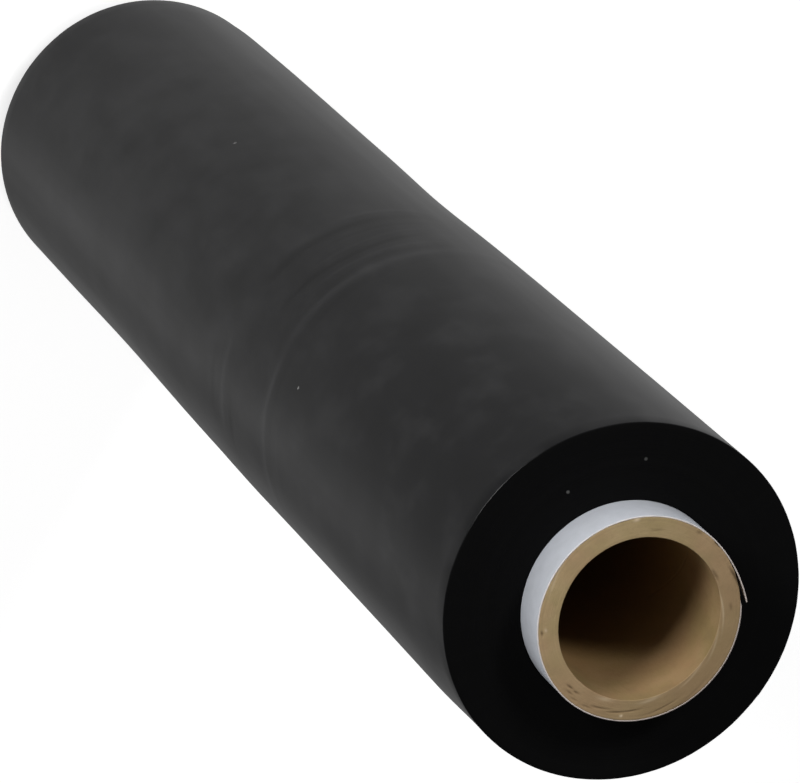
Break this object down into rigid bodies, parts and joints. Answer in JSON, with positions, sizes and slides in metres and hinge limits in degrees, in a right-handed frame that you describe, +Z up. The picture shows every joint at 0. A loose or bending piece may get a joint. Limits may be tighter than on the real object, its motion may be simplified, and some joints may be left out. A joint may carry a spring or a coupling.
{
  "type": "stretch wrap roll",
  "caption": "Hand roll of black stretch film wound on a brown card core with a white paper outer ply, one corner of the ply peeled.",
  "frame": {"origin": "centre of the bottom end of the card core, which is the bottom centre of the whole roll", "axes": "+Z up the roll's axis; +X and +Y square to it, with the tip of the peeled paper corner at 139 degrees from +X towards +Y, at the top end"},
  "size_m": [0.11, 0.11, 0.5275],
  "materials": {
    "brown_card": "raw cut card",
    "white_paper": "uncoated white paper",
    "black_film": "satin wound film"
  },
  "bodies": {
    "root": {"card_core": "brown_card", "outer_ply": "white_paper", "film_winding": "black_film"}
  },
  "joints": []
}
